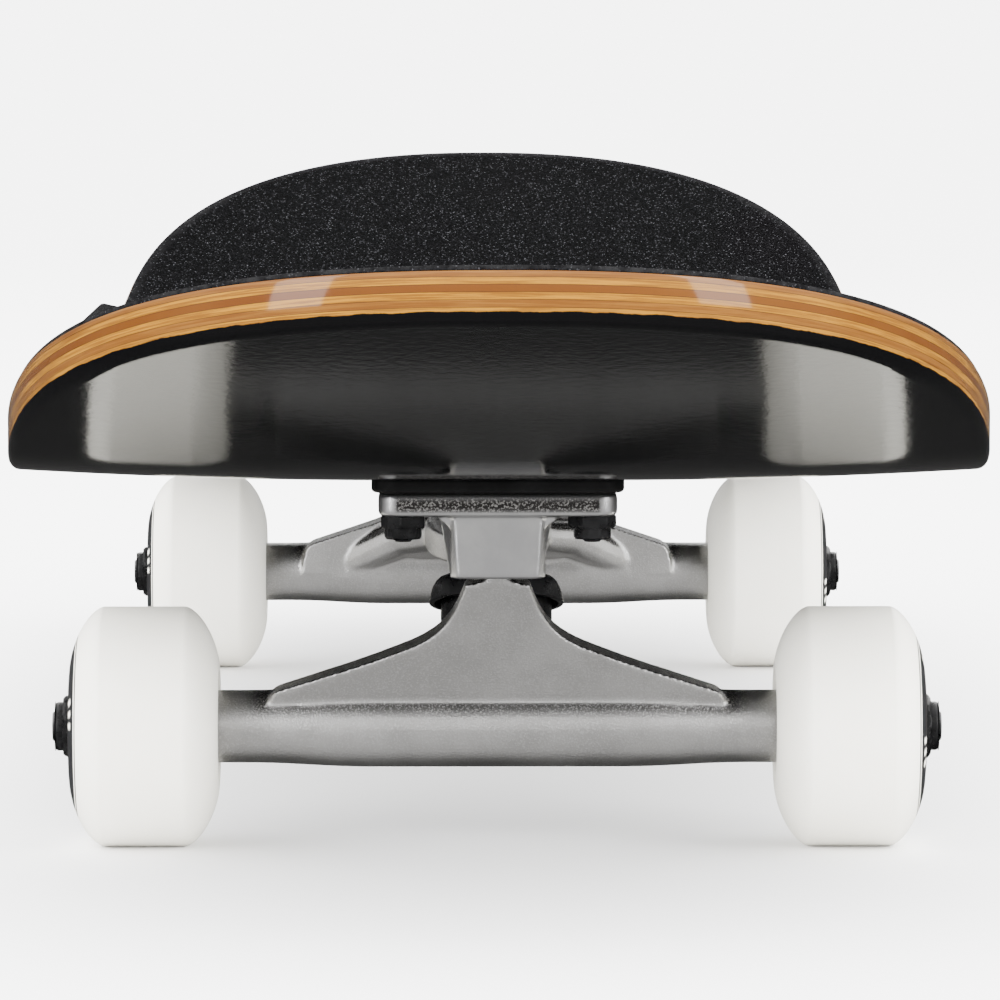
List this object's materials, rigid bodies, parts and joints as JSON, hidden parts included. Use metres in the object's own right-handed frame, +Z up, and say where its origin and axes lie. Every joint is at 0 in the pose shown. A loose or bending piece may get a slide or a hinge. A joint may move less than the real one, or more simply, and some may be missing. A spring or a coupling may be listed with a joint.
{
  "type": "skateboard",
  "caption": "Street skateboard with a kicked maple deck, black griptape, sprung cast aluminium trucks that steer by leaning, and cream urethane wheels on ball bearings.",
  "frame": {"origin": "centre of the bounding box on the floor, under the wheels", "axes": "+X to the board's right, +Y towards the nose, +Z up"},
  "size_m": [0.2094, 0.813, 0.1391],
  "materials": {
    "maple_deck": "lacquered maple ply edge; the underside is gloss black",
    "griptape": "coarse black abrasive",
    "cast_aluminium": "fine satin casting",
    "black_plastic": "matte black",
    "black_urethane": "satin black",
    "cream_urethane": "satin cream",
    "steel": "ground steel",
    "black_steel": "black oxide"
  },
  "bodies": {
    "deck": {"deck": "maple_deck", "griptape": "griptape", "tail_outer_left_bolt": "black_steel", "tail_outer_left_lock_nut": "black_steel", "tail_outer_right_bolt": "black_steel", "tail_outer_right_lock_nut": "black_steel", "tail_inner_left_bolt": "black_steel", "tail_inner_left_lock_nut": "black_steel", "tail_inner_right_bolt": "black_steel", "tail_inner_right_lock_nut": "black_steel", "nose_outer_left_bolt": "black_steel", "nose_outer_left_lock_nut": "black_steel", "nose_outer_right_bolt": "black_steel", "nose_outer_right_lock_nut": "black_steel", "nose_inner_left_bolt": "black_steel", "nose_inner_left_lock_nut": "black_steel", "nose_inner_right_bolt": "black_steel", "nose_inner_right_lock_nut": "black_steel", "tail_riser_pad": "black_plastic", "tail_baseplate": "cast_aluminium", "tail_pivot_cup": "black_plastic", "tail_kingpin": "black_steel", "tail_cup_washer": "black_steel", "tail_boardside_bushing": "black_urethane", "tail_roadside_bushing": "black_urethane", "tail_flat_washer": "black_steel", "tail_kingpin_nut": "black_steel", "nose_riser_pad": "black_plastic", "nose_baseplate": "cast_aluminium", "nose_pivot_cup": "black_plastic", "nose_kingpin": "black_steel", "nose_cup_washer": "black_steel", "nose_boardside_bushing": "black_urethane", "nose_roadside_bushing": "black_urethane", "nose_flat_washer": "black_steel", "nose_kingpin_nut": "black_steel"},
    "tail_hanger": {"tail_hanger": "cast_aluminium", "tail_axle": "steel", "tail_left_speed_washer": "steel", "tail_left_axle_nut": "black_steel", "tail_right_speed_washer": "steel", "tail_right_axle_nut": "black_steel"},
    "tail_left_wheel": {"tail_left_wheel": "cream_urethane", "tail_left_inner_bearing": "steel", "tail_left_outer_bearing": "steel"},
    "tail_right_wheel": {"tail_right_wheel": "cream_urethane", "tail_right_inner_bearing": "steel", "tail_right_outer_bearing": "steel"},
    "nose_hanger": {"nose_hanger": "cast_aluminium", "nose_axle": "steel", "nose_left_speed_washer": "steel", "nose_left_axle_nut": "black_steel", "nose_right_speed_washer": "steel", "nose_right_axle_nut": "black_steel"},
    "nose_left_wheel": {"nose_left_wheel": "cream_urethane", "nose_left_inner_bearing": "steel", "nose_left_outer_bearing": "steel"},
    "nose_right_wheel": {"nose_right_wheel": "cream_urethane", "nose_right_inner_bearing": "steel", "nose_right_outer_bearing": "steel"}
  },
  "joints": [
    {"name": "tail_steer", "type": "hinge", "parent": "deck", "child": "tail_hanger", "pos_m": [0, -0.1985, 0.0385], "axis": [0, 0.8262, -0.5633], "range_deg": [-12, 12], "stiffness_Nm_per_rad": 35, "deforming": ["tail_boardside_bushing", "tail_roadside_bushing"]},
    {"name": "tail_left_spin", "type": "hinge", "parent": "tail_hanger", "child": "tail_left_wheel", "pos_m": [-0.0779, -0.2205, 0.0265], "axis": [1, 0, 0], "continuous": true},
    {"name": "tail_right_spin", "type": "hinge", "parent": "tail_hanger", "child": "tail_right_wheel", "pos_m": [0.0779, -0.2205, 0.0265], "axis": [1, 0, 0], "continuous": true},
    {"name": "nose_steer", "type": "hinge", "parent": "deck", "child": "nose_hanger", "pos_m": [0, 0.1895, 0.0385], "axis": [0, -0.8262, -0.5633], "range_deg": [-12, 12], "stiffness_Nm_per_rad": 35, "deforming": ["nose_boardside_bushing", "nose_roadside_bushing"]},
    {"name": "nose_left_spin", "type": "hinge", "parent": "nose_hanger", "child": "nose_left_wheel", "pos_m": [-0.0779, 0.2115, 0.0265], "axis": [1, 0, 0], "continuous": true},
    {"name": "nose_right_spin", "type": "hinge", "parent": "nose_hanger", "child": "nose_right_wheel", "pos_m": [0.0779, 0.2115, 0.0265], "axis": [1, 0, 0], "continuous": true}
  ]
}
